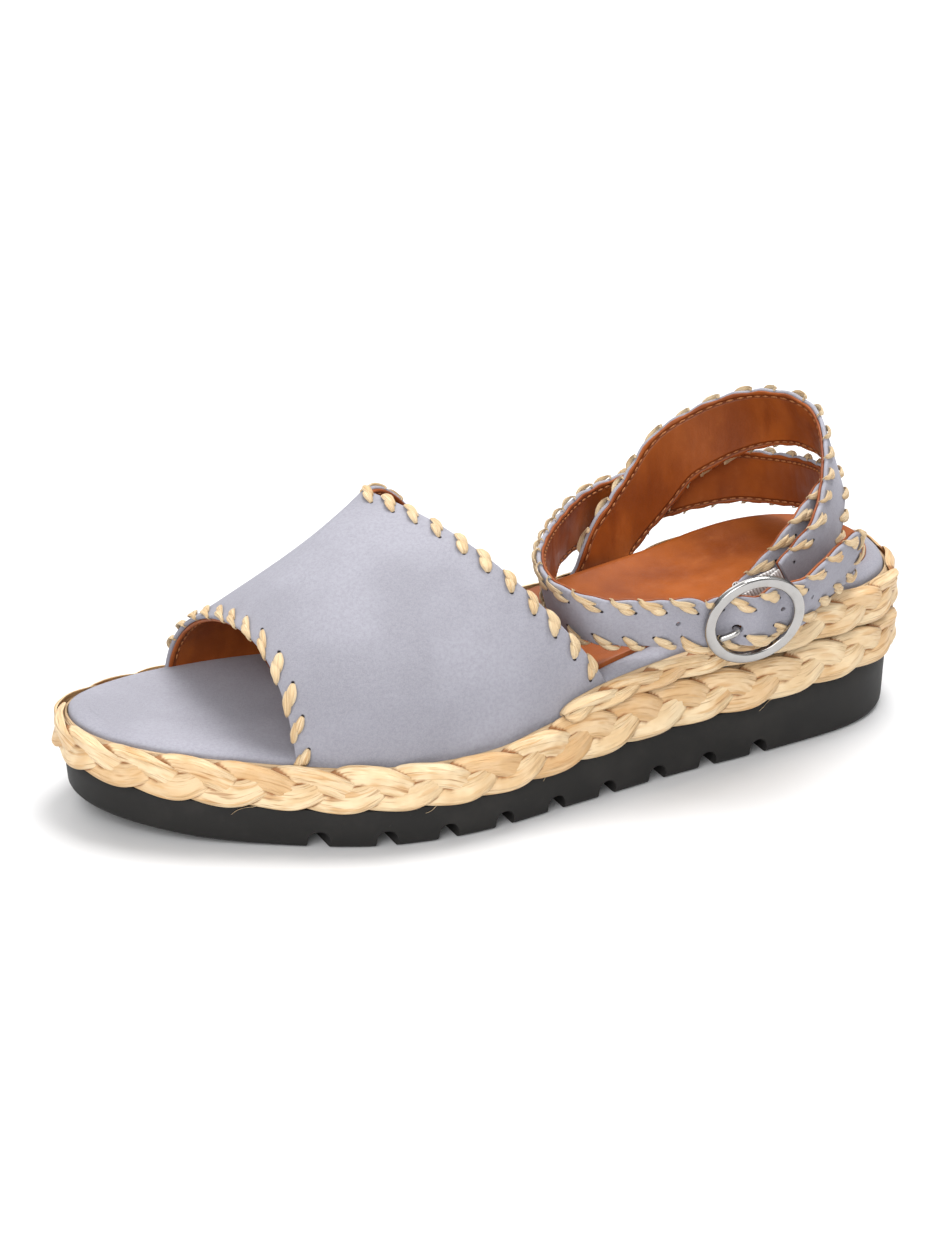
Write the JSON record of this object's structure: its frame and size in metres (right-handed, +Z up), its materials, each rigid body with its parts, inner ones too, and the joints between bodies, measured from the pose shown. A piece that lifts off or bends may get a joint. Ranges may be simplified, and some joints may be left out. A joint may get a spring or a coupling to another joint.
{
  "type": "suede sandal",
  "caption": "Left open-toe suede sandal on a grooved rubber wedge trimmed with plaited raffia, with crossed heel and ankle straps and a round buckle.",
  "frame": {"origin": "on the floor, under the middle of the whole sandal's box", "axes": "+X from heel to toe, +Y to the outer (lateral) side, +Z up"},
  "size_m": [0.2572, 0.0998, 0.0921],
  "materials": {
    "suede": "blue-grey napped suede",
    "leather": "smooth tan lining leather",
    "raffia": "plaited natural raffia",
    "rubber": "matt black moulded rubber",
    "webbing": "ribbed beige elastic",
    "metal": "polished nickel plate"
  },
  "bodies": {
    "root": {"outsole": "rubber", "footbed": "suede", "sock": "leather", "lower_braid": "raffia", "upper_braid": "raffia", "vamp": "suede", "heel_strap": "suede", "ankle_strap": "suede", "elastic_loop": "webbing", "buckle_frame": "metal", "buckle_prong": "metal"}
  },
  "joints": []
}
